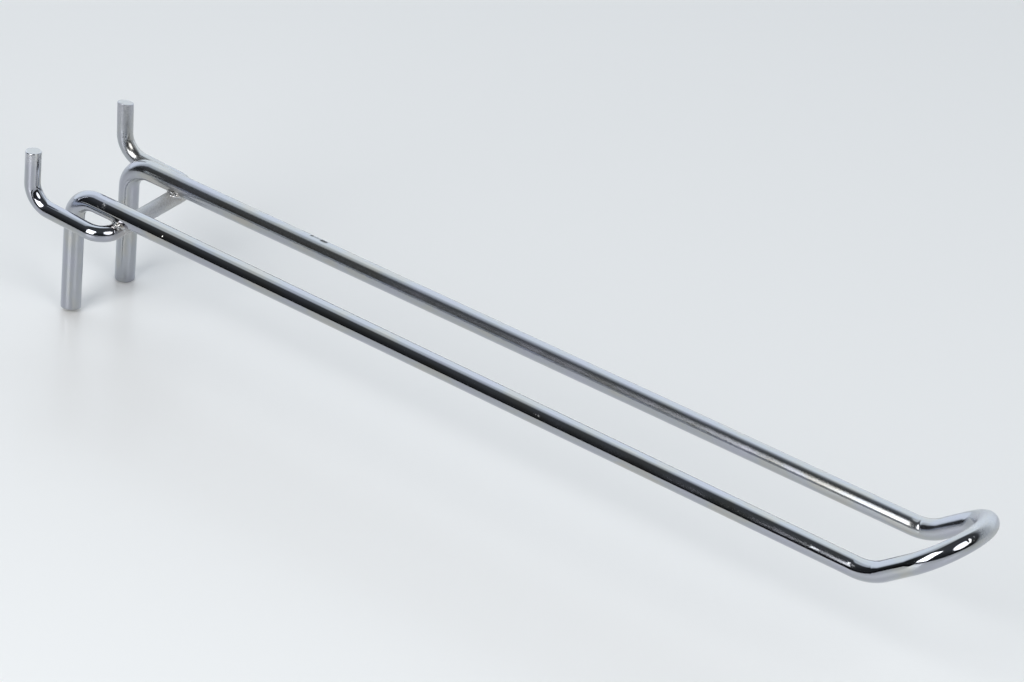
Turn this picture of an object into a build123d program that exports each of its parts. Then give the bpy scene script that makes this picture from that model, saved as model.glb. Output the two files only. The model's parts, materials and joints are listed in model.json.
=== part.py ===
from build123d import *
import os
from math import radians, tan

# Double-arm display hook for perforated board: two bent steel wires, welded where they cross.
# X runs out of the board, Y along the row of holes and Z up. The origin lies on the board's
# front face, midway between the two holes and at their height. Bend radii are on the wire's axis.

# Wires
arm_wire_d = 6.0  # arms, legs and front loop
hook_wire_d = 4.8  # cross bar and prongs

# Board that the hook hangs on
board_gap = 4.2  # room for the board between the legs and the prongs
hole_pitch = 40.0  # from hole to hole

# Arm wire
arm_length = 278.0  # leg axis to the corner of the front bend
rear_pitch = 24.2  # from arm to arm at the legs
front_pitch = 27.6  # from arm to arm at the front bend
leg_drop = 39.4  # arm axis down to the foot of the leg
rear_bend_r = 8.0
front_bend_r = 16.0
loop_angle = 36.0  # upturn of the front loop, in degrees
loop_side = 14.5  # corner of the front bend to the start of the round end
foot_rim = 0.6  # chamfer round a foot

# Hook wire
cross_reach = 17.2  # leg axis to the cross bar's axis
corner_r = 5.6  # cross bar to run
run_angle = 2.2  # rise of the runs towards the board, in degrees
prong_bend_r = 7.0  # run to prong
prong_rise = 16.7  # hole centre up to the sheared end of a prong
prong_rim = 0.35  # chamfer round a sheared end

# Welds
weld_sink = 0.85  # how far the two wires are pressed into each other
bead_r = 3.0  # metal squeezed out round a contact

# Places that follow from the sizes
arm_r = arm_wire_d / 2
hook_r = hook_wire_d / 2
leg_x = arm_r
front_x = leg_x + arm_length
cross_x = leg_x + cross_reach
prong_x = -board_gap - hook_r
run_slope = tan(radians(run_angle))
cross_z = -cross_x * run_slope
run_end_z = -prong_x * run_slope
arm_z = cross_z + hook_r + arm_r - weld_sink
cross_half_pitch = (rear_pitch + (front_pitch - rear_pitch) * cross_reach / arm_length) / 2
loop_plane = Plane((front_x, 0, arm_z), x_dir=(1, 0, 0), z_dir=(0, 0, 1)).rotated((0, -loop_angle, 0))

os.makedirs("parts", exist_ok=True)


def half_arm(side):
    """Corners of one side of the arm wire, from the foot to the start of the loop's round end."""
    return [
        (leg_x, side * rear_pitch / 2, arm_z - leg_drop),
        (leg_x, side * rear_pitch / 2, arm_z),
        (front_x, side * front_pitch / 2, arm_z),
        loop_plane.from_local_coords((loop_side, side * front_pitch / 2)),
    ]


# Hook wire: prong, run, cross bar, run and prong in one length
with BuildPart() as hook_wire:
    with BuildLine() as hook_path:
        FilletPolyline(
            (prong_x, -hole_pitch / 2, prong_rise),
            (prong_x, -hole_pitch / 2, run_end_z),
            (cross_x, -hole_pitch / 2, cross_z),
            (cross_x, hole_pitch / 2, cross_z),
            (prong_x, hole_pitch / 2, run_end_z),
            (prong_x, hole_pitch / 2, prong_rise),
            radius=[prong_bend_r, corner_r, corner_r, prong_bend_r],
        )
    with BuildSketch(Plane(hook_path.line @ 0, z_dir=hook_path.line % 0)):
        Circle(hook_r)
    sweep()
    sheared_ends = hook_wire.faces().group_by(Axis.Z)[-1]
    chamfer(sheared_ends.edges(), prong_rim)

# Arm wire: leg, arm, loop, arm and leg in one length, and the weld metal on it
with BuildPart() as arm_wire:
    with BuildLine() as arm_path:
        near_side = FilletPolyline(*half_arm(-1), radius=[rear_bend_r, front_bend_r])
        far_side = FilletPolyline(*half_arm(1), radius=[rear_bend_r, front_bend_r])
        loop_tip = loop_plane.from_local_coords((loop_side + front_pitch / 2, 0))
        ThreePointArc(near_side @ 1, loop_tip, far_side @ 1)
    with BuildSketch(Plane(near_side @ 0, z_dir=near_side % 0)):
        Circle(arm_r)
    sweep()
    feet = arm_wire.faces().group_by(Axis.Z)[0]
    chamfer(feet.edges(), foot_rim)
    # A bead of squeezed-out metal round each contact
    contact_z = arm_z - arm_r + weld_sink / 2
    with Locations((cross_x, -cross_half_pitch, contact_z), (cross_x, cross_half_pitch, contact_z)):
        Sphere(bead_r)
    # The cross bar is pressed into both arms
    add(hook_wire.part, mode=Mode.SUBTRACT)

for piece, name in ((arm_wire, "arm_wire"), (hook_wire, "hook_wire")):
    piece.part.label = name
    export_step(piece.part, f"parts/{name}.step")
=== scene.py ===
import json
import math

import bmesh
import bpy
import numpy as np
from bpy.props import FloatProperty, FloatVectorProperty, IntProperty, PointerProperty
from mathutils import Matrix, Vector, noise


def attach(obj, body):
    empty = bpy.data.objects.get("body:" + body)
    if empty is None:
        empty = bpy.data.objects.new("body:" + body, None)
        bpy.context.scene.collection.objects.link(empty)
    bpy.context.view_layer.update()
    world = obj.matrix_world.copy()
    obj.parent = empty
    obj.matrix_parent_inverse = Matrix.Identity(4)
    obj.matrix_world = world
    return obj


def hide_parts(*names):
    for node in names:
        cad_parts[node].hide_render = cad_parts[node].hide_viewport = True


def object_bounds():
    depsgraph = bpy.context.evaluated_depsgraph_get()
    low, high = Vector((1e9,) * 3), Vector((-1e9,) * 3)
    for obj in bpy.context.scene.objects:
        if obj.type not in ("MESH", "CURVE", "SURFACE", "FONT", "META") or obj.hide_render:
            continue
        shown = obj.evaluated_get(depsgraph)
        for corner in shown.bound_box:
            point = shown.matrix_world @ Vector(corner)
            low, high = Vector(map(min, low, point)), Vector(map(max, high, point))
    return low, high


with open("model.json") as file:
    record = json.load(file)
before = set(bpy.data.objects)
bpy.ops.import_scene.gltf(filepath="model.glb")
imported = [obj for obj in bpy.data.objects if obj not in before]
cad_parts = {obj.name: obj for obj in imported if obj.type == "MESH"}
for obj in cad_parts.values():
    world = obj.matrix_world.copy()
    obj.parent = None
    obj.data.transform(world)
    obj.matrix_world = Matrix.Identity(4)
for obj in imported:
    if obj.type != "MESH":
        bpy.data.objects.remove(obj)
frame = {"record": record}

bl_info = {
    "name": "Display Hook",
    "version": (1, 0, 0),
    "blender": (4, 5, 0),
    "location": "View3D > Sidebar > Display Hook",
    "description": "Builds a zinc-plated double-arm display hook of bent and welded wire",
    "category": "Add Mesh",
}

MM = 0.001
CAD_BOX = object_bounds()
MIDDLE = (Vector(CAD_BOX[0]) + Vector(CAD_BOX[1])) / 2
FLOOR_Z = CAD_BOX[0][2]
PRONG_R = next(m for m in frame["record"]["mounts"] if m["name"] == "left_prong")["dims"]["r_mm"]

# Steps from ring to ring of a wire: along a straight run (mm) and round a bend (degrees)
ARM_STEP = 8.0
ARM_TURN = 0.9
HOOK_STEP = 2.0
HOOK_TURN = 1.5

# Rings lie closer together beside a mark: reach and step along the wire, and how far from the axis of a
# run a mark still lies on it (mm)
FINE_REACH = 3.2
FINE_STEP = 0.16
FINE_OFF = 6.0

# Marks that use has left: place, reach along and round the wire, depth (mm), then dulling and painted shade.
# Painted shade of 1 paints the middle of a mark black, and more of it paints black to near the edge.
MARKS = (
    # The nicks are painted near black in their grooves: painted shade
    ((69.55, 13.29, 6.67), 0.5, 0.42, 0.08, 0.0, 2.5),  # long nick on top of the far arm
    ((71.4, 13.18, 6.7), 1.3, 0.3, 0.03, 0.0, 0.8),
    ((73.9, 13.1, 6.72), 1.1, 0.46, 0.12, 0.0, 3.0),
    ((15.5, -14.3, 5.8), 0.7, 1.3, 0.0, 0.8, 0.0),  # rub across the near arm, beside its rear bend
    ((13.8, -15.0, 4.7), 0.6, 0.5, 0.0, 0.5, 0.0),
    ((20.7, -14.9, 5.0), 0.25, 0.25, 0.03, 0.2, 0.0),
    ((38.0, -15.0, 5.2), 0.26, 0.26, 0.08, 0.6, 0.0),  # chip
    ((171.5, -15.7, 5.35), 1.2, 0.16, 0.006, 0.6, 0.0),  # fine scratches
    ((264.7, -16.2, 5.4), 1.4, 0.15, 0.015, 0.5, 0.0),
    ((276.0, -16.0, 5.8), 0.9, 0.15, 0.02, 0.5, 0.0),
    ((277.2, -16.2, 5.6), 0.6, 0.15, 0.02, 0.5, 0.0),
    ((304.7, -6.4, 22.0), 0.35, 0.5, 0.06, 0.2, 0.0),  # tool marks on the loop
    ((305.1, -4.9, 22.4), 0.3, 0.4, 0.07, 0.2, 0.0),
    ((305.3, -5.3, 21.6), 0.3, 0.3, 0.05, 0.2, 0.0),
)

# Lines that the bending tool pressed across the inside of a bend: from place, to place, depth and reach
# along the wire (mm)
CREASES = (
    ((281.2, -13.2, 7.8), (282.2, -15.8, 7.0), 0.04, 0.35),
    ((278.9, 12.4, 6.8), (279.5, 11.0, 5.4), 0.16, 0.45),
    ((5.4, 9.3, -0.2), (8.4, 10.2, 0.8), 0.2, 0.8),
    ((6.2, -13.6, -0.3), (6.2, -10.6, -0.3), 0.14, 0.8),
)

# Lumps of squeezed-out metal at the two welds: place from the contact (mm), radius (mm)
NEAR_LUMPS = (
    ((0.7, -3.0, 0.6), 0.6),
    ((1.8, -2.9, 0.6), 0.55),
    ((2.6, -2.2, 0.3), 0.65),
    ((2.2, 1.4, 0.1), 0.7),
    ((-1.7, 1.9, 0.2), 0.65),
)
FAR_LUMPS = (
    ((1.0, -3.0, 0.1), 0.5),
    ((2.0, -2.8, 0.1), 0.5),
    ((2.8, -2.3, 0.1), 0.5),
    ((2.2, 0.7, 0.1), 0.75),
    ((-2.1, 0.9, 0.1), 0.7),
    ((1.2, 2.4, 0.3), 0.65),
)

# Weld metal (mm): blend from lump to lump, width of a ripple and its distance from the contact, and how
# far under the surface of a wire the metal ends
LUMP_BLEND = 0.5
RIPPLE_WIDTH = 0.8
RIPPLE_REACH = 2.6
WELD_SINK = 0.03
WELD_ROWS = 64

# Parts of the room: azimuth and elevation (degrees), then the cosines from that direction at which the
# part starts and is fully lit. The last two rows bound the left wall.
ROOM_PARTS = (
    (0, 90, 0.2, 0.9),  # ceiling
    (-161, -30, -0.2, 0.1),  # walls behind the hook
    (-114, -35, -0.225, -0.12),
    (-165, 0, -0.16, -0.01),
)

# Soft boxes left and right of the camera: shape, azimuth, elevation, half width and half height (degrees)
SOFT_BOXES = {
    "left_box": ("RECTANGLE", -7.1, 32.2, 14.8, 22.0),
    "right_box": ("ELLIPSE", 75.0, 38.0, 17.0, 21.5),
}

# Dark card: where its edges lie on the floor (m), and its height above the floor (mm)
CARD_LEFT = -6.0
CARD_NEAR = -5.8
CARD_NEAR_RIGHT = -1.84
CARD_FAR_RIGHT = 0.21
CARD_LIFT = 0.2


def linear(hex_colour):
    """Scene-linear red, green and blue of an sRGB hex colour."""
    parts = [int(hex_colour[k:k + 2], 16) / 255 for k in (1, 3, 5)]
    return tuple(c / 12.92 if c <= 0.04045 else ((c + 0.055) / 1.055) ** 2.4 for c in parts)


def length(name, description, mm):
    """A length property whose default is given in millimetres."""
    return FloatProperty(name=name, description=description, default=mm * MM, min=0.0,
                         unit="LENGTH", precision=5)


def colour(name, description, hex_colour):
    """A colour property whose default is given as sRGB hex."""
    return FloatVectorProperty(name=name, description=description, default=linear(hex_colour), size=3,
                               min=0.0, max=1.0, subtype="COLOR")


def angle(name, description, degrees):
    """An angle property whose default is given in degrees."""
    return FloatProperty(name=name, description=description, default=math.radians(degrees), subtype="ANGLE")


def level(name, description, value):
    """A plain number that is never negative."""
    return FloatProperty(name=name, description=description, default=value, min=0.0)


class ArmWireSizes(bpy.types.PropertyGroup):
    """Sizes of the thick wire: legs, arms and front loop."""
    wire_d: length("Wire", "Diameter of the arm wire", 6.0)
    arm_length: length("Arm length", "Leg axis to the corner of the front bend", 278.0)
    arm_height: length("Arm height", "Axis of the arms above the hole centres", 3.774)
    rear_pitch: length("Rear pitch", "From arm to arm at the legs", 24.2)
    front_pitch: length("Front pitch", "From arm to arm at the front bend", 27.6)
    leg_drop: length("Leg drop", "Arm axis down to the foot of the longer, far leg", 39.4)
    near_leg_short: length("Near leg short", "How much shorter the near leg was cut", 0.75)
    near_foot_cut: angle("Near foot cut", "Slant of the near foot's cut", 13.0)
    near_foot_turn: angle("Near foot turn", "Azimuth that the near foot's cut rises towards", 35.0)
    rear_bend_r: length("Rear bend", "Radius of the rear bends, on the axis", 8.0)
    front_bend_r: length("Front bend", "Radius of the front bends, on the axis", 16.0)
    loop_angle: angle("Loop angle", "Upturn of the front loop", 36.0)
    loop_side: length("Loop side", "Corner of the front bend to the loop's round end", 14.5)
    foot_rim: length("Foot rim", "Rounding of a foot's rim", 0.6)
    around: IntProperty(name="Points round", description="Points round the wire", default=96, min=12)


class HookWireSizes(bpy.types.PropertyGroup):
    """Sizes of the thin wire: cross bar, runs and prongs."""
    wire_d: length("Wire", "Diameter of the hook wire", 2 * PRONG_R)
    hole_pitch: length("Hole pitch", "From prong to prong", 40.0)
    prong_depth: length("Prong depth", "Board's front face back to the axis of a prong", 6.6)
    prong_rise: length("Prong rise", "Hole centre up to the sheared end of a prong", 16.7)
    near_prong_long: length("Near prong long", "How much longer the near prong was cut", 0.35)
    far_prong_long: length("Far prong long", "How much longer the far prong was cut", 0.1)
    far_prong_near: length("Far prong near", "How much nearer to the board the far prong's tip stands", 0.4)
    far_prong_lean: length("Far prong lean", "How much the far prong leans away from the board", 0.5)
    near_prong_cut: angle("Near prong cut", "Slant of the near prong's sheared end", 4.5)
    near_prong_turn: angle("Near prong turn", "Azimuth that the near prong's end rises towards", 35.0)
    far_prong_cut: angle("Far prong cut", "Slant of the far prong's sheared end", 12.5)
    far_prong_turn: angle("Far prong turn", "Azimuth that the far prong's end rises towards", 5.0)
    collar: length("Collar", "How far the shear has dulled the wire below its end", 2.3)
    prong_bend_r: length("Prong bend", "Radius from run to prong, on the axis", 7.0)
    cross_x: length("Cross bar", "Board's front face out to the axis of the cross bar", 20.2)
    corner_r: length("Corner", "Radius from cross bar to run, on the axis", 5.6)
    run_angle: angle("Run angle", "Rise of the runs towards the board", 2.2)
    prong_rim: length("Prong rim", "Rounding of a sheared end's rim", 0.35)
    burr: length("Burr", "Height of the ragged edge of a sheared end", 0.12)
    burr_width: length("Burr width", "Width of the tears in a sheared end", 0.9)
    around: IntProperty(name="Points round", description="Points round the wire", default=80, min=12)


class WeldSizes(bpy.types.PropertyGroup):
    """Sizes of the two welds."""
    half_pitch: length("Half pitch", "Mid plane to a weld", 12.205)
    reach: length("Reach", "Contact out to the edge of the squeezed-out metal", 3.7)
    fillet: length("Fillet", "Blend between the two wires", 0.8)
    ripple: length("Ripple", "Height of the lumps in the weld metal", 0.24)


class FinishColours(bpy.types.PropertyGroup):
    """Colours of the plated steel."""
    plate: colour("Zinc plate", "Bright zinc, almost neutral", "#b1b5b8")
    blue_cast: colour("Blue cast", "Passivated patches that lean to lavender", "#b1b3bd")
    beige_cast: colour("Beige cast", "Passivated patches that lean to beige", "#b8b6b1")
    # On the loop's tip and the far prong this lighter plate is painted light; on the marks and below the
    # sheared ends it is wear
    rub_and_painted_light_colour: colour("Rubbed plate", "Plate dulled by rubbing", "#d8d9db")
    # Painted shade: the near black that the middle of a nick is painted
    nick_shade: colour("Shade_in_nick", "Black shading in a nick", "#1d1c1b")
    heat: colour("Heat stain", "Straw-coloured stain beside a weld", "#a59b8e")
    sheared: colour("Sheared end", "Plate over the torn face of a sheared end", "#cbc9c5")
    weld: colour("Weld metal", "Plate over rough weld metal", "#c6c7c9")


class WearLevels(bpy.types.PropertyGroup):
    """How dull the plating is in places: satin is added roughness, and rub is the share dulled by rubbing.
    On the loop's tip and the far prong that share also paints the plate lighter, as painted light.
    """
    far_arm_satin: level("Far arm satin", "From the tip of the loop to the far leg", 0.09)
    tip_satin: level("Tip satin", "Added on the tip of the loop", 0.12)
    # Painted light: on the tip of the loop the rub share also paints the plate lighter
    tip_rub_and_painted_light: level("Tip rub", "On the tip of the loop", 0.4)
    leg_satin: level("Leg satin", "Added on the legs", 0.06)
    bar_satin: level("Cross bar satin", "On the cross bar", 0.35)
    far_run_satin: level("Far run satin", "On the far run and its prong", 0.18)
    far_prong_satin: level("Far prong satin", "Added on the far prong", 0.06)
    # Painted light: on the far prong the rub share also paints the plate lighter
    far_prong_rub_and_painted_light: level("Far prong rub", "On the far prong", 0.4)
    collar_rub: level("Collar rub", "Below a sheared end", 0.6)


class StageSettings(bpy.types.PropertyGroup):
    """Floor, light and camera."""
    floor_size: FloatProperty(name="Floor", description="Width of the floor", default=12.0, unit="LENGTH")
    floor_colour: colour("Floor colour", "Satin white sheet", "#f4f4f3")
    floor_roughness: level("Floor roughness", "How far the floor's sheen spreads", 0.28)
    wall_colour: colour("Wall colour", "Light from the pale walls behind the hook", "#ebf3fb")
    dark_side: level("Dark side", "Brightness of the dark room round the camera", 0.03)
    ceiling: level("Ceiling", "Added brightness of the ceiling", 0.06)
    wall: level("Walls", "Added brightness of the pale walls behind the hook", 0.6)
    left_wall: level("Left wall", "Added brightness of the wall on the hook's left", 0.8)
    left_box: level("Left soft box", "Brightness of the left soft box", 5.0)
    right_box: level("Right soft box", "Brightness of the right soft box", 2.6)
    box_distance: FloatProperty(name="Box distance", description="Hook to the soft boxes", default=1.6,
                                unit="LENGTH")
    card_colour: colour("Card colour", "Black paper", "#161617")
    card_y: FloatProperty(name="Card", description="Place of the dark card across the floor",
                          default=-0.187, unit="LENGTH")
    aim: FloatVectorProperty(name="Aim", description="Point in the middle of the picture", size=3,
                             default=(0.148674, 0.002475, 0.010992), unit="LENGTH", precision=5)
    distance: FloatProperty(name="Distance", description="Camera to the aim point", default=1.65443,
                            unit="LENGTH")
    azimuth: angle("Azimuth", "Camera's turn round the hook from the side", 34.549)
    elevation: angle("Elevation", "Camera's height angle", 31.891)
    roll: angle("Roll", "Camera's turn about its own axis", 5.111)
    lens: FloatProperty(name="Lens", description="Focal length on a 36 mm sensor", default=210.94, min=1.0)


def add_node(tree, kind, inputs=None, **settings):
    """Add a node with its own settings, and give each input a value or the output that feeds it.
    An input goes by its name, or by its number where names repeat."""
    node = tree.nodes.new(kind)
    for name, value in settings.items():
        setattr(node, name, value)
    for name, value in (inputs or {}).items():
        if isinstance(value, bpy.types.NodeSocket):
            tree.links.new(value, node.inputs[name])
        else:
            node.inputs[name].default_value = value
    return node


def new_material(name):
    """An empty node material and its tree."""
    material = bpy.data.materials.new(name)
    material.use_nodes = True
    material.node_tree.nodes.clear()
    return material, material.node_tree


def per_size(*sizes):
    """Scale of a pattern whose features have these sizes (mm) along the three axes."""
    return tuple(1 / (size * MM) for size in sizes)


def zinc_plate(colours, weld_place):
    """Bright zinc plate on drawn steel wire: a dark mirror with faint lines from the drawing die, a soft
    patchy cast of lavender and beige from the passivation, and straw-coloured heat stains by the welds."""
    material = bpy.data.materials.get("bright_zinc_plate_on_drawn_steel")
    if material:
        return material
    material, tree = new_material("bright_zinc_plate_on_drawn_steel")
    wire = add_node(tree, "ShaderNodeAttribute", attribute_name="along_round").outputs["Vector"]
    rub_and_painted_light = add_node(tree, "ShaderNodeAttribute", attribute_name="rub_and_painted_light").outputs["Fac"]
    nick_shade = add_node(tree, "ShaderNodeAttribute", attribute_name="nick_shade").outputs["Fac"]
    satin = add_node(tree, "ShaderNodeAttribute", attribute_name="satin").outputs["Fac"]

    # Passivation cast: patches 14 mm long and 5 mm wide
    patches = add_node(tree, "ShaderNodeVectorMath", {0: wire, 1: per_size(14, 5, 5)},
                       operation="MULTIPLY").outputs[0]
    patch = add_node(tree, "ShaderNodeTexNoise",
                     {"Vector": patches, "Scale": 1.0, "Detail": 3.0, "Roughness": 0.55}).outputs[0]
    blue = add_node(tree, "ShaderNodeMapRange", {0: patch, 1: 0.42, 2: 0.66}).outputs[0]
    beige = add_node(tree, "ShaderNodeMapRange", {0: patch, 1: 0.5, 2: 0.3}).outputs[0]

    # Heat stain: fades out 7 mm from a weld; the hook is alike on both sides, so the distance is from |y|
    place = add_node(tree, "ShaderNodeTexCoord").outputs["Object"]
    place = add_node(tree, "ShaderNodeVectorMath", {0: place}, operation="ABSOLUTE").outputs[0]
    away = add_node(tree, "ShaderNodeVectorMath", {0: place, 1: weld_place},
                    operation="DISTANCE").outputs["Value"]
    stain = add_node(tree, "ShaderNodeMapRange", {0: away, 1: 7 * MM, 2: 2.5 * MM, 4: 0.9}).outputs[0]
    stain = add_node(tree, "ShaderNodeMath", {0: stain, 1: patch}, operation="MULTIPLY").outputs[0]

    # Places of wear, and the painted light on the loop's tip and the far prong: broken up into flecks of 0.4
    # mm
    flecks = add_node(tree, "ShaderNodeVectorMath", {0: wire, 1: per_size(0.4, 0.4, 0.4)},
                      operation="MULTIPLY").outputs[0]
    fleck = add_node(tree, "ShaderNodeTexNoise", {"Vector": flecks, "Scale": 1.0, "Detail": 2.0}).outputs[0]
    fleck = add_node(tree, "ShaderNodeMapRange", {0: fleck, 1: 0.4, 2: 0.6, 3: 0.2}).outputs[0]
    rub_and_painted_light = add_node(tree, "ShaderNodeMath", {0: rub_and_painted_light, 1: fleck}, operation="MULTIPLY").outputs[0]

    # Colour: each layer covers its share of the ones before it
    # The last layer paints the nicks near black: painted shade
    tint = (*colours.plate, 1)
    # The layer of wear also lays painted light on the loop's tip and the far prong
    for share, layer in ((blue, colours.blue_cast), (beige, colours.beige_cast), (stain, colours.heat),
                         (rub_and_painted_light, colours.rub_and_painted_light_colour), (nick_shade, colours.nick_shade)):
        tint = add_node(tree, "ShaderNodeMix", {0: share, 6: tint, 7: (*layer, 1)},
                        data_type="RGBA").outputs[2]

    # Die lines: 0.5 mm apart, drawn as coarse as the picture needs to show them, and 90 mm long
    lines = add_node(tree, "ShaderNodeVectorMath", {0: wire, 1: per_size(90, 0.5, 0.5)},
                     operation="MULTIPLY").outputs[0]
    line = add_node(tree, "ShaderNodeTexNoise", {"Vector": lines, "Scale": 1.0, "Detail": 2.0}).outputs[0]
    # Plating grain: 0.8 mm orange peel
    grains = add_node(tree, "ShaderNodeVectorMath", {0: wire, 1: per_size(0.8, 0.8, 0.8)},
                      operation="MULTIPLY").outputs[0]
    grain = add_node(tree, "ShaderNodeTexNoise", {"Vector": grains, "Scale": 1.0, "Detail": 2.0}).outputs[0]
    relief = add_node(tree, "ShaderNodeMath", {0: grain, 1: 0.35, 2: line},
                      operation="MULTIPLY_ADD").outputs[0]
    normal = add_node(tree, "ShaderNodeBump",
                      {"Height": relief, "Strength": 1.0, "Distance": 0.004 * MM}).outputs[0]

    # Polish: a mirror on the near side, satin where the plating bath reached less well
    polish = add_node(tree, "ShaderNodeMapRange", {0: patch, 1: 0.25, 2: 0.75, 3: 0.04, 4: 0.1}).outputs[0]
    polish = add_node(tree, "ShaderNodeMath", {0: polish, 1: satin}, operation="ADD").outputs[0]
    polish = add_node(tree, "ShaderNodeMath", {0: rub_and_painted_light, 1: 0.4, 2: polish},
                      operation="MULTIPLY_ADD").outputs[0]
    shader = add_node(tree, "ShaderNodeBsdfPrincipled",
                      {"Base Color": tint, "Metallic": 1.0, "Roughness": polish, "Normal": normal})
    add_node(tree, "ShaderNodeOutputMaterial", {"Surface": shader.outputs[0]})
    return material


def sheared_steel(colours):
    """Zinc plate over a sheared wire end: a pale, dull face with the torn grain of the shear across it."""
    material = bpy.data.materials.get("zinc_plate_on_sheared_steel")
    if material:
        return material
    material, tree = new_material("zinc_plate_on_sheared_steel")
    place = add_node(tree, "ShaderNodeTexCoord").outputs["Object"]
    # Torn grain: 0.35 mm wide, drawn out to 1.6 mm across the end
    grains = add_node(tree, "ShaderNodeVectorMath", {0: place, 1: per_size(0.35, 1.6, 0.35)},
                      operation="MULTIPLY").outputs[0]
    grain = add_node(tree, "ShaderNodeTexNoise", {"Vector": grains, "Scale": 1.0, "Detail": 4.0}).outputs[0]
    shade = add_node(tree, "ShaderNodeMix", {0: grain, 6: (*colours.plate, 1), 7: (*colours.sheared, 1)},
                     data_type="RGBA").outputs[2]
    dull = add_node(tree, "ShaderNodeMapRange", {0: grain, 1: 0.3, 2: 0.7, 3: 0.3, 4: 0.45}).outputs[0]
    normal = add_node(tree, "ShaderNodeBump",
                      {"Height": grain, "Strength": 1.0, "Distance": 0.03 * MM}).outputs[0]
    shader = add_node(tree, "ShaderNodeBsdfPrincipled",
                      {"Base Color": shade, "Metallic": 1.0, "Roughness": dull, "Normal": normal})
    add_node(tree, "ShaderNodeOutputMaterial", {"Surface": shader.outputs[0]})
    return material


def weld_metal(colours):
    """Zinc plate over resistance-weld flash: bright where the lumps are smooth, dull and pitted between
    them, with straw-coloured heat stains in the hollows."""
    material, tree = new_material("zinc_plate_on_weld_metal")
    place = add_node(tree, "ShaderNodeTexCoord").outputs["Object"]
    # Flash: lumps of 0.9 mm with pits of 0.25 mm
    lumps = add_node(tree, "ShaderNodeVectorMath", {0: place, 1: per_size(0.9, 0.9, 0.9)},
                     operation="MULTIPLY").outputs[0]
    lump = add_node(tree, "ShaderNodeTexNoise", {"Vector": lumps, "Scale": 1.0, "Detail": 3.0}).outputs[0]
    pits = add_node(tree, "ShaderNodeVectorMath", {0: place, 1: per_size(0.25, 0.25, 0.25)},
                    operation="MULTIPLY").outputs[0]
    pit = add_node(tree, "ShaderNodeTexNoise", {"Vector": pits, "Scale": 1.0, "Detail": 1.0}).outputs[0]
    hollow = add_node(tree, "ShaderNodeMapRange", {0: lump, 1: 0.52, 2: 0.36, 4: 0.8}).outputs[0]
    shade = add_node(tree, "ShaderNodeMix", {0: hollow, 6: (*colours.weld, 1), 7: (*colours.heat, 1)},
                     data_type="RGBA").outputs[2]
    dull = add_node(tree, "ShaderNodeMapRange", {0: lump, 1: 0.35, 2: 0.62, 3: 0.3, 4: 0.12}).outputs[0]
    relief = add_node(tree, "ShaderNodeMath", {0: pit, 1: 0.25, 2: lump},
                      operation="MULTIPLY_ADD").outputs[0]
    normal = add_node(tree, "ShaderNodeBump",
                      {"Height": relief, "Strength": 1.0, "Distance": 0.1 * MM}).outputs[0]
    shader = add_node(tree, "ShaderNodeBsdfPrincipled",
                      {"Base Color": shade, "Metallic": 1.0, "Roughness": dull, "Normal": normal})
    add_node(tree, "ShaderNodeOutputMaterial", {"Surface": shader.outputs[0]})
    return material


def satin_acrylic(stage):
    """White acrylic sheet with a satin face: plain, with a soft sheen of the lights."""
    material, tree = new_material("satin_acrylic_sheet")
    shader = add_node(tree, "ShaderNodeBsdfPrincipled",
                      {"Base Color": (*stage.floor_colour, 1), "Roughness": stage.floor_roughness})
    add_node(tree, "ShaderNodeOutputMaterial", {"Surface": shader.outputs[0]})
    return material


def black_paper(stage):
    """Dull black paper, clear from below so that light still leaves the floor under it."""
    material, tree = new_material("black_paper")
    below = add_node(tree, "ShaderNodeNewGeometry").outputs["Backfacing"]
    paper = add_node(tree, "ShaderNodeBsdfDiffuse", {"Color": (*stage.card_colour, 1)}).outputs[0]
    clear = add_node(tree, "ShaderNodeBsdfTransparent").outputs[0]
    shader = add_node(tree, "ShaderNodeMixShader", {0: below, 1: paper, 2: clear})
    add_node(tree, "ShaderNodeOutputMaterial", {"Surface": shader.outputs[0]})
    return material


def bearing(azimuth, elevation):
    """Direction from the hook towards something seen at these angles; azimuth 0 is the near side."""
    level_part = math.cos(elevation)
    return Vector((math.sin(azimuth) * level_part, -math.cos(azimuth) * level_part, math.sin(elevation)))


def ramp(values, start, end):
    """Smooth step from 0 at start to 1 at end."""
    part = np.clip((values - start) / (end - start), 0, 1)
    return part * part * (3 - 2 * part)


def run_of(start, end, step, fine_places):
    """Places along a straight run, closer together beside the fine places; the end is left out."""
    whole = (end - start).length
    if whole < 1e-6:
        return []
    ahead = (end - start) / whole
    at = set(np.linspace(0, whole, max(2, math.ceil(whole / step) + 1))[:-1].round(7))
    for place in fine_places:
        middle = (Vector(place) * MM - start).dot(ahead)
        if (Vector(place) * MM - start - ahead * middle).length < FINE_OFF * MM:
            near = middle + np.arange(-FINE_REACH, FINE_REACH + FINE_STEP / 2, FINE_STEP) * MM
            at.update(near[(near > 0) & (near < whole)].round(7))
    return [start + ahead * float(a) for a in sorted(at)]


def bend_wire(corners, bends, step, turn, fine_places):
    """Places and directions along the axis of a wire that is bent at each corner between its ends."""
    places, directions = [], []
    start = corners[0]
    for before, corner, after, radius in zip(corners, corners[1:], corners[2:], bends):
        into, out = (corner - before).normalized(), (after - corner).normalized()
        whole = into.angle(out)
        inward = (out - into * into.dot(out)).normalized()
        reach = radius * math.tan(whole / 2)
        run = run_of(start, corner - into * reach, step, fine_places)
        places += run
        directions += [into] * len(run)
        for part in np.linspace(0, whole, math.ceil(whole / turn) + 1)[:-1]:
            off = into * math.sin(part) + inward * (1 - math.cos(part))
            places.append(corner - into * reach + radius * off)
            directions.append(into * math.cos(part) + inward * math.sin(part))
        start = corner + out * reach
    run = run_of(start, corners[-1], step, fine_places) + [corners[-1]]
    directions += [(corners[-1] - start).normalized()] * len(run)
    return np.array(places + run), np.array(directions)


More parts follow.
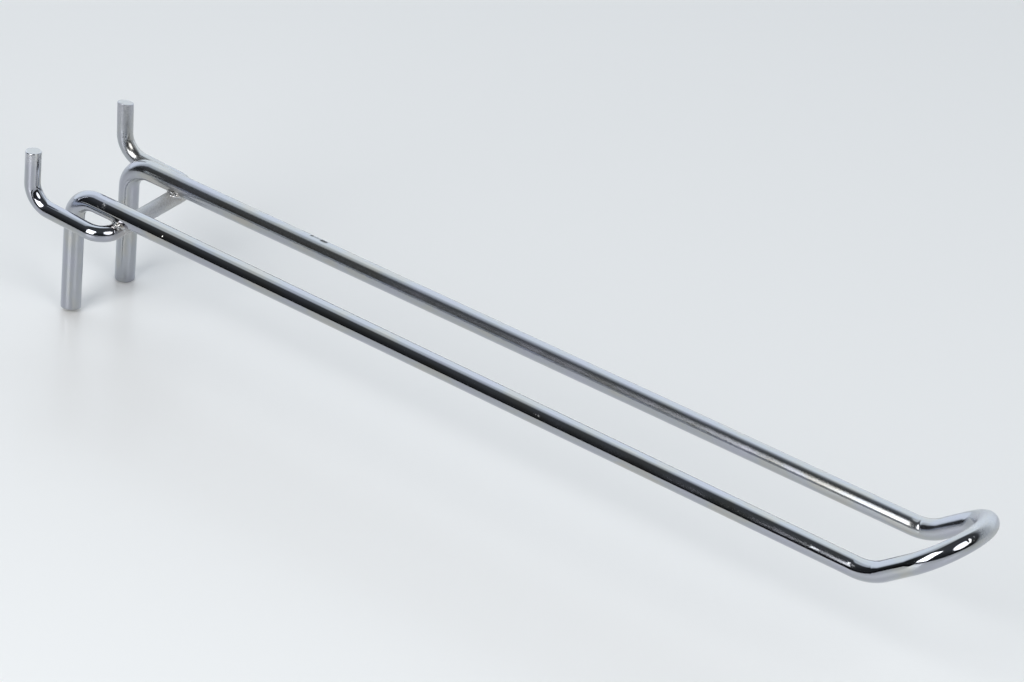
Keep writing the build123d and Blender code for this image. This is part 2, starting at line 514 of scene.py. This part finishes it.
def frame_wire(directions, first_side):
    """Two axes across the wire at each place, carried along it without twist."""
    sides = []
    side = np.array(first_side, float)
    for ahead in directions:
        side = side - ahead * side.dot(ahead)
        side = side / np.linalg.norm(side)
        sides.append(side)
    sides = np.array(sides)
    return sides, np.cross(directions, sides)


def end_rings(place, outward, radius, rim):
    """Places and radii of the rings that round off a wire's end and run in over its face."""
    turn = np.linspace(0, math.pi / 2, 7)[1:]
    inner = np.array((0.8, 0.55, 0.3, 0.08))
    reach = np.concatenate([rim * np.sin(turn), np.full(len(inner), rim)])
    radii = np.concatenate([radius - rim * (1 - np.cos(turn)), (radius - rim) * inner])
    return place + np.outer(reach, outward), radii


class Wire:
    """Rings of points round a bent wire, from the face of one end to the face of the other."""

    def __init__(self, corners, bends, radius, rim, around, step, turn, fine_places=()):
        corners = [Vector(c) for c in corners]
        corners[0] = corners[0] + (corners[1] - corners[0]).normalized() * rim
        corners[-1] = corners[-1] + (corners[-2] - corners[-1]).normalized() * rim
        axis, ahead = bend_wire(corners, bends, step * MM, math.radians(turn), fine_places)
        first, first_radii = end_rings(axis[0], -ahead[0], radius, rim)
        last, last_radii = end_rings(axis[-1], ahead[-1], radius, rim)
        self.radius, self.rim = radius, rim
        self.ends = len(first)
        self.places = np.concatenate([first[::-1], axis, last])
        self.radii = np.concatenate([first_radii[::-1], np.full(len(axis), radius), last_radii])
        first_ahead, last_ahead = ahead[:1].repeat(self.ends, 0), ahead[-1:].repeat(self.ends, 0)
        directions = np.concatenate([first_ahead, ahead, last_ahead])
        self.sides, self.ups = frame_wire(directions, (0, 1, 0))
        steps = np.linalg.norm(np.diff(self.places, axis=0), axis=1)
        self.along = np.concatenate([[0.0], np.cumsum(steps)])
        self.turn = np.linspace(0, 2 * math.pi, around, endpoint=False)
        self.out = (np.cos(self.turn)[None, :, None] * self.sides[:, None]
                    + np.sin(self.turn)[None, :, None] * self.ups[:, None])
        self.depth = np.zeros((len(self.places), around))
        self.rub_and_painted_light = np.zeros((len(self.places), around))
        self.nick_shade = np.zeros((len(self.places), around))
        self.slant = np.zeros((len(self.places), around))

    def find(self, place):
        """How far along the wire, and at which angle round it, a place on its surface (mm) lies."""
        place = np.array(place) * MM
        body = slice(self.ends, -self.ends)
        ring = self.ends + np.argmin(np.linalg.norm(self.places[body] - place, axis=1))
        off = place - self.places[ring]
        return self.along[ring], math.atan2(off @ self.ups[ring], off @ self.sides[ring])

    def round_from(self, facing):
        """Signed distance round the wire from an angle to each point of a ring."""
        return ((self.turn - facing + math.pi) % (2 * math.pi) - math.pi)[None, :] * self.radius

    def mark(self, place, long, wide, deep, dull, shade_share):
        """Press a mark of use into the surface: dull it, and paint its middle black as painted shade."""
        start, facing = self.find(place)
        far = (self.along - start)[:, None] / (long * MM)
        touched = np.exp(-far ** 4 - (self.round_from(facing) / (wide * MM)) ** 2)
        self.depth += deep * MM * touched
        self.rub_and_painted_light = np.maximum(self.rub_and_painted_light, dull * touched)
        self.nick_shade = np.maximum(self.nick_shade, shade_share * touched)

    def crease(self, first, last, deep, long):
        """Press a tool's edge across the wire, from one place on its surface to another."""
        start, facing = self.find(first)
        end, last_facing = self.find(last)
        whole = ((last_facing - facing + math.pi) % (2 * math.pi) - math.pi) * self.radius
        part = self.round_from(facing) / whole
        far = np.abs(self.along[:, None] - start - part * (end - start)) / (long * MM)
        faded = np.exp(-np.maximum(np.abs(part - 0.5) - 0.5, 0) ** 2 * (whole / MM) ** 2 / 2)
        self.depth += deep * MM * np.exp(-far) * faded

    def cut(self, rings, azimuth, slant):
        """Slant the end that these rings close, so that it rises towards an azimuth."""
        offset = self.radii[rings, None, None] * self.out[rings]
        self.slant[rings] += offset @ np.array(bearing(azimuth, 0.0)) * math.tan(slant)

    def first_end(self):
        """The rings that close the first end."""
        return slice(0, self.ends + 1)

    def last_end(self):
        """The rings that close the last end."""
        return slice(-self.ends - 1, None)

    def tear(self, height, width):
        """Roughen the sheared ends."""
        for ring in (*range(self.ends), *range(-self.ends, 0)):
            points = self.places[ring] + self.radii[ring] * self.out[ring]
            self.slant[ring] -= height * np.abs([noise.noise(Vector(p) / width) for p in points])

    def piece(self, name, satin):
        """The wire as a mesh object with its surface attributes; slot 1 is for the end faces."""
        points = self.places[:, None] + (self.radii[:, None] - self.depth)[..., None] * self.out
        points[..., 2] += self.slant
        rings, count = self.depth.shape
        verts = points.reshape(-1, 3).tolist() + [points[0].mean(0).tolist(), points[-1].mean(0).tolist()]
        faces, slots = [], []
        face_radius = self.radius - 0.95 * self.rim
        for ring in range(rings - 1):
            low, high = ring * count, (ring + 1) * count
            for k in range(count):
                nxt = (k + 1) % count
                faces.append((low + k, low + nxt, high + nxt, high + k))
            slots += [int(max(self.radii[ring:ring + 2]) < face_radius)] * count
        for k in range(count):
            nxt = (k + 1) % count
            faces.append((rings * count, nxt, k))
            faces.append((rings * count + 1, (rings - 1) * count + k, (rings - 1) * count + nxt))
        slots += [1] * (2 * count)
        mesh = bpy.data.meshes.new(name)
        mesh.from_pydata(verts, [], faces)
        mesh.polygons.foreach_set("material_index", slots)
        mesh.shade_smooth()
        coords = np.zeros((rings, count, 3))
        coords[..., 0] = self.along[:, None]
        coords[..., 1:] = self.radius * np.stack([np.cos(self.turn), np.sin(self.turn)], axis=-1)
        coords = np.concatenate([coords.reshape(-1, 3), [[0, 0, 0], [self.along[-1], 0, 0]]])
        along_round = mesh.attributes.new("along_round", "FLOAT_VECTOR", "POINT")
        along_round.data.foreach_set("vector", coords.ravel())
        satin = satin[:, None].repeat(count, 1)
        for label, values in (("rub_and_painted_light", self.rub_and_painted_light), ("nick_shade", self.nick_shade), ("satin", satin)):
            values = np.append(values.ravel(), (0.0, 0.0))
            mesh.attributes.new(label, "FLOAT", "POINT").data.foreach_set("value", values)
        piece = bpy.data.objects.new(name, mesh)
        bpy.context.scene.collection.objects.link(piece)
        return piece


def dress(piece, slot, *materials):
    """Give a piece its materials and let it ride on the frame."""
    for material in materials:
        piece.data.materials.append(material)
    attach(piece, "root")


def contact_place(scene):
    """Middle of the contact between the cross bar and the far arm."""
    arm, hook, weld = scene.hook_arm_wire, scene.hook_hook_wire, scene.hook_welds
    top = hook.wire_d / 2 - hook.cross_x * math.tan(hook.run_angle)
    return Vector((hook.cross_x, weld.half_pitch, (top + arm.arm_height - arm.wire_d / 2) / 2))


class HOOK_OT_arm_wire(bpy.types.Operator):
    """Bend the thick wire: leg, arm, front loop, arm and leg in one length"""
    bl_idname = "display_hook.arm_wire"
    bl_label = "Arm Wire"

    def execute(self, context):
        scene = context.scene
        size, wear, colours = scene.hook_arm_wire, scene.hook_wear, scene.hook_finish
        leg_x, front_x = size.wire_d / 2, size.wire_d / 2 + size.arm_length
        half_rear, half_front, high = size.rear_pitch / 2, size.front_pitch / 2, size.arm_height
        loop = size.loop_side + half_front
        tip_x, tip_z = front_x + loop * math.cos(size.loop_angle), high + loop * math.sin(size.loop_angle)
        near = [
            (leg_x, -half_rear, high - size.leg_drop),
            (leg_x, -half_rear, high),
            (front_x, -half_front, high),
            (tip_x, -half_front, tip_z),
        ]
        far = [(x, -y, z) for x, y, z in reversed(near)]
        near[0] = (leg_x, -half_rear, high - size.leg_drop + size.near_leg_short)
        bends = [size.rear_bend_r, size.front_bend_r, half_front]
        wire = Wire(near + far, bends + bends[::-1], size.wire_d / 2, size.foot_rim, size.around,
                    ARM_STEP, ARM_TURN, [mark[0] for mark in MARKS])
        for mark in MARKS:
            wire.mark(*mark)
        for crease in CREASES:
            wire.crease(*crease)
        wire.cut(wire.first_end(), size.near_foot_turn, size.near_foot_cut)
        # The plating is duller from the tip of the loop to the far side, and a little on the legs
        x, y = wire.places[:, 0], wire.places[:, 1]
        far_side = ramp(y, -0.22 * half_front, 0.1 * half_front)
        tip = ramp(x, front_x, tip_x - half_front) * ramp(y, -0.22 * half_front, -0.1 * half_front)
        tip *= ramp(y, 0.95 * half_front, 0.6 * half_front)
        rear = ramp(x, leg_x + size.rear_bend_r, leg_x + size.rear_bend_r / 3)
        # The tip's rub share also paints the plate lighter there: painted light
        wire.rub_and_painted_light = np.maximum(wire.rub_and_painted_light, wear.tip_rub_and_painted_light * tip[:, None])
        satin = wear.far_arm_satin * far_side + wear.tip_satin * tip + wear.leg_satin * rear
        piece = wire.piece("arm_wire_plated", satin)
        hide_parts("arm_wire")
        dress(piece, "arm_wire", zinc_plate(colours, contact_place(scene)), sheared_steel(colours))
        return {"FINISHED"}


class HOOK_OT_hook_wire(bpy.types.Operator):
    """Bend the thin wire: prong, run, cross bar, run and prong in one length"""
    bl_idname = "display_hook.hook_wire"
    bl_label = "Hook Wire"

    def execute(self, context):
        scene = context.scene
        size, wear, colours = scene.hook_hook_wire, scene.hook_wear, scene.hook_finish
        half, slope = size.hole_pitch / 2, math.tan(size.run_angle)
        near = [
            (-size.prong_depth, -half, size.prong_rise),
            (-size.prong_depth, -half, size.prong_depth * slope),
            (size.cross_x, -half, -size.cross_x * slope),
        ]
        far = [(x, -y, z) for x, y, z in reversed(near)]
        near[0] = (-size.prong_depth, -half, size.prong_rise + size.near_prong_long)
        far_tip = size.far_prong_near - size.prong_depth
        far_foot = far_tip + size.far_prong_lean
        far[-2] = (far_foot, half, -far_foot * slope)
        far[-1] = (far_tip, half, size.prong_rise + size.far_prong_long)
        bends = [size.prong_bend_r, size.corner_r]
        wire = Wire(near + far, bends + bends[::-1], size.wire_d / 2, size.prong_rim, size.around,
                    HOOK_STEP, HOOK_TURN)
        wire.cut(wire.first_end(), size.near_prong_turn, size.near_prong_cut)
        wire.cut(wire.last_end(), size.far_prong_turn, size.far_prong_cut)
        wire.tear(size.burr, size.burr_width)
        # The plating is dull on the cross bar and below the sheared ends, and satin on the far run and prong
        x, y, z = wire.places.T
        from_end = np.minimum(wire.along, wire.along[-1] - wire.along)
        collar = ramp(from_end, size.collar * 1.15, size.collar)
        bar = ramp(x, size.cross_x - size.corner_r, size.cross_x) * ramp(np.abs(y), half * 0.75, half * 0.5)
        far_side = ramp(y, half * 0.75, half)
        far_prong = far_side * ramp(z, size.prong_bend_r, 1.4 * size.prong_bend_r)
        # The far prong's rub share also paints the plate lighter there: painted light
        rub_and_painted_light = np.maximum.reduce([wear.collar_rub * collar, wear.far_prong_rub_and_painted_light * far_prong, bar])
        wire.rub_and_painted_light = np.maximum(wire.rub_and_painted_light, rub_and_painted_light[:, None])
        satin = wear.bar_satin * bar + wear.far_run_satin * far_side + wear.far_prong_satin * far_prong
        piece = wire.piece("hook_wire_plated", satin)
        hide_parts("hook_wire")
        dress(piece, "hook_wire", zinc_plate(colours, contact_place(scene)), sheared_steel(colours))
        return {"FINISHED"}


def smooth_least(first, second, blend):
    """The lesser of two distances, rounded off where they are alike."""
    alike = np.maximum(blend - np.abs(first - second), 0) / blend
    return np.minimum(first, second) - alike ** 2 * blend / 4


def weld_points(scene, contact, lumps):
    """Surface of one weld on a grid of directions from its contact: a lumpy fillet between two wires."""
    arm, hook, weld = scene.hook_arm_wire, scene.hook_hook_wire, scene.hook_welds
    tilts = np.linspace(0, math.pi, WELD_ROWS + 1)
    turns = np.arange(2 * WELD_ROWS) * math.pi / WELD_ROWS
    tilt, turn = np.meshgrid(tilts, turns, indexing="ij")
    out = np.stack([np.sin(tilt) * np.cos(turn), np.sin(tilt) * np.sin(turn), np.cos(tilt)], -1)
    out = out.reshape(-1, 3)
    far = np.linspace(0.15, 1.0, 150) * weld.reach
    place = out[:, None] * far[None, :, None]
    arm_up = arm.arm_height - contact.z
    bar_down = contact.z + hook.cross_x * math.tan(hook.run_angle)
    to_arm = np.hypot(place[..., 1], place[..., 2] - arm_up) - arm.wire_d / 2
    to_bar = np.hypot(place[..., 0], place[..., 2] + bar_down) - hook.wire_d / 2
    gap = smooth_least(to_arm, to_bar, weld.fillet)
    for centre, lump_r in lumps:
        to_lump = np.linalg.norm(place - np.array(centre) * MM, axis=2) - lump_r * MM
        gap = smooth_least(gap, to_lump, LUMP_BLEND * MM)
    ripple = [noise.noise((contact + Vector(o) * RIPPLE_REACH * MM) / (RIPPLE_WIDTH * MM)) for o in out]
    gap -= weld.ripple * np.maximum(ripple, 0)[:, None] * ramp(far, weld.reach, 0.6 * weld.reach)
    # The metal ends just under the surface of a wire where it lies inside it
    gap += WELD_SINK * MM
    last = len(far) - 2 - np.argmax(gap[:, -2::-1] < 0, axis=1)
    rays = np.arange(len(out))
    inner, outer = gap[rays, last], gap[rays, last + 1]
    part = np.clip(inner / np.minimum(inner - outer, -1e-9), 0, 1)
    return np.array(contact) + out * (far[last] + part * (far[1] - far[0]))[:, None]


class HOOK_OT_welds(bpy.types.Operator):
    """Squeeze out the weld metal where the cross bar meets each arm"""
    bl_idname = "display_hook.welds"
    bl_label = "Welds"

    def execute(self, context):
        scene = context.scene
        far_contact = contact_place(scene)
        near_contact = Vector((far_contact.x, -far_contact.y, far_contact.z))
        around = 2 * WELD_ROWS
        points, faces = [], []
        for contact, lumps in ((near_contact, NEAR_LUMPS), (far_contact, FAR_LUMPS)):
            first = len(points)
            points += weld_points(scene, contact, lumps).tolist()
            for row in range(WELD_ROWS):
                low = first + row * around
                high = low + around
                for k in range(around):
                    nxt = (k + 1) % around
                    faces.append((low + k, high + k, high + nxt, low + nxt))
        mesh = bpy.data.meshes.new("weld_flash")
        mesh.from_pydata(points, [], faces)
        # Each grid ends in a row of points on one spot at both of its poles
        merged = bmesh.new()
        merged.from_mesh(mesh)
        bmesh.ops.remove_doubles(merged, verts=merged.verts, dist=1e-4 * MM)
        merged.to_mesh(mesh)
        merged.free()
        mesh.shade_smooth()
        piece = bpy.data.objects.new("weld_flash", mesh)
        scene.collection.objects.link(piece)
        dress(piece, "arm_wire", weld_metal(scene.hook_finish))
        return {"FINISHED"}


def lay_sheet(scene, name, corners, material):
    """A flat sheet with four corners."""
    mesh = bpy.data.meshes.new(name)
    mesh.from_pydata(corners, [], [(0, 1, 2, 3)])
    mesh.materials.append(material)
    sheet = bpy.data.objects.new(name, mesh)
    scene.collection.objects.link(sheet)
    return sheet


def lay_floor(scene):
    """Plain floor under the hook."""
    half = scene.hook_stage.floor_size / 2
    sides = ((-1, -1), (1, -1), (1, 1), (-1, 1))
    corners = [(MIDDLE.x + x * half, MIDDLE.y + y * half, FLOOR_Z) for x, y in sides]
    floor = lay_sheet(scene, "floor", corners, satin_acrylic(scene.hook_stage))


def light_room(scene):
    """Room: dark on the camera's side, a dim ceiling, and pale walls behind and left of the hook."""
    stage = scene.hook_stage
    world = bpy.data.worlds.new("studio")
    world.use_nodes = True
    tree = world.node_tree
    tree.nodes.clear()
    toward = add_node(tree, "ShaderNodeTexCoord").outputs["Generated"]
    lit = []
    for azimuth, elevation, start, end in ROOM_PARTS:
        middle = bearing(math.radians(azimuth), math.radians(elevation))
        facing = add_node(tree, "ShaderNodeVectorMath", {0: toward, 1: middle},
                          operation="DOT_PRODUCT").outputs["Value"]
        lit.append(add_node(tree, "ShaderNodeMapRange", {0: facing, 1: start, 2: end},
                            interpolation_type="SMOOTHSTEP").outputs[0])
    ceiling, wall, left_start, left_end = lit
    left = add_node(tree, "ShaderNodeMath", {0: left_start, 1: left_end}, operation="MULTIPLY").outputs[0]
    strength = stage.dark_side
    for part, added in ((ceiling, stage.ceiling), (wall, stage.wall), (left, stage.left_wall)):
        strength = add_node(tree, "ShaderNodeMath", {0: part, 1: added, 2: strength},
                            operation="MULTIPLY_ADD").outputs[0]
    light = add_node(tree, "ShaderNodeBackground", {"Color": (*stage.wall_colour, 1), "Strength": strength})
    add_node(tree, "ShaderNodeOutputWorld", {"Surface": light.outputs[0]})
    scene.world = world


def hang_soft_boxes(scene):
    """Soft boxes that face the hook; their energy follows from their brightness and size."""
    stage = scene.hook_stage
    for name, (shape, azimuth, elevation, wide, tall) in SOFT_BOXES.items():
        toward = bearing(math.radians(azimuth), math.radians(elevation))
        data = bpy.data.lights.new("soft_box", "AREA")
        data.shape = shape
        data.size = 2 * stage.box_distance * math.tan(math.radians(wide))
        data.size_y = 2 * stage.box_distance * math.tan(math.radians(tall))
        filled = math.pi / 4 if shape == "ELLIPSE" else 1.0
        data.energy = getattr(stage, name) * math.pi * data.size * data.size_y * filled
        box = bpy.data.objects.new("soft_box", data)
        box.location = MIDDLE + toward * stage.box_distance
        box.rotation_mode = "QUATERNION"
        box.rotation_quaternion = toward.to_track_quat("Z", "Y")
        box.visible_camera = False
        scene.collection.objects.link(box)


def lay_card(scene):
    """Dark card on the near side of the floor, seen only in the plating and from above."""
    card_y, card_z = scene.hook_stage.card_y, FLOOR_Z + CARD_LIFT * MM
    corners = [
        (CARD_LEFT, card_y, card_z),
        (CARD_LEFT, CARD_NEAR, card_z),
        (CARD_NEAR_RIGHT, CARD_NEAR, card_z),
        (CARD_FAR_RIGHT, card_y, card_z),
    ]
    card = lay_sheet(scene, "dark_card", corners, black_paper(scene.hook_stage))
    card.visible_camera = False
    card.visible_diffuse = False
    card.visible_shadow = False


def place_camera(scene):
    """Camera that looks at the aim point, rolled about its own axis."""
    stage = scene.hook_stage
    back = bearing(stage.azimuth, stage.elevation)
    right = Vector((math.cos(stage.azimuth), math.sin(stage.azimuth), 0))
    up = back.cross(right)
    rolled_right = right * math.cos(stage.roll) + up * math.sin(stage.roll)
    rolled_up = up * math.cos(stage.roll) - right * math.sin(stage.roll)
    camera = bpy.data.objects.new("camera", bpy.data.cameras.new("camera"))
    camera.data.lens = stage.lens
    camera.data.sensor_width = 36.0
    camera.data.clip_end = 50.0
    turned = Matrix((rolled_right, rolled_up, back)).transposed().to_4x4()
    camera.matrix_world = Matrix.Translation(Vector(stage.aim) + back * stage.distance) @ turned
    scene.collection.objects.link(camera)
    scene.camera = camera


class HOOK_OT_stage(bpy.types.Operator):
    """Lay the floor, set the light and place the camera"""
    bl_idname = "display_hook.stage"
    bl_label = "Stage"

    def execute(self, context):
        scene = context.scene
        lay_floor(scene)
        light_room(scene)
        hang_soft_boxes(scene)
        lay_card(scene)
        place_camera(scene)
        scene.view_settings.view_transform = "Standard"
        return {"FINISHED"}


OPERATORS = (HOOK_OT_arm_wire, HOOK_OT_hook_wire, HOOK_OT_welds, HOOK_OT_stage)


class HOOK_PT_panel(bpy.types.Panel):
    """Builds the hook piece by piece"""
    bl_idname = "HOOK_PT_panel"
    bl_label = "Display Hook"
    bl_space_type = "VIEW_3D"
    bl_region_type = "UI"
    bl_category = "Display Hook"

    def draw(self, context):
        for operator in OPERATORS:
            self.layout.operator(operator.bl_idname)


GROUPS = {
    "hook_arm_wire": ArmWireSizes,
    "hook_hook_wire": HookWireSizes,
    "hook_welds": WeldSizes,
    "hook_finish": FinishColours,
    "hook_wear": WearLevels,
    "hook_stage": StageSettings,
}


def register():
    for name, group in GROUPS.items():
        bpy.utils.register_class(group)
        setattr(bpy.types.Scene, name, PointerProperty(type=group))
    for cls in (*OPERATORS, HOOK_PT_panel):
        bpy.utils.register_class(cls)


def unregister():
    for cls in (HOOK_PT_panel, *reversed(OPERATORS)):
        bpy.utils.unregister_class(cls)
    for name, group in reversed(GROUPS.items()):
        delattr(bpy.types.Scene, name)
        bpy.utils.unregister_class(group)


def main():
    register()
    bpy.ops.display_hook.arm_wire()
    bpy.ops.display_hook.hook_wire()
    bpy.ops.display_hook.welds()
    bpy.ops.display_hook.stage()


if __name__ == "__main__":
    main()
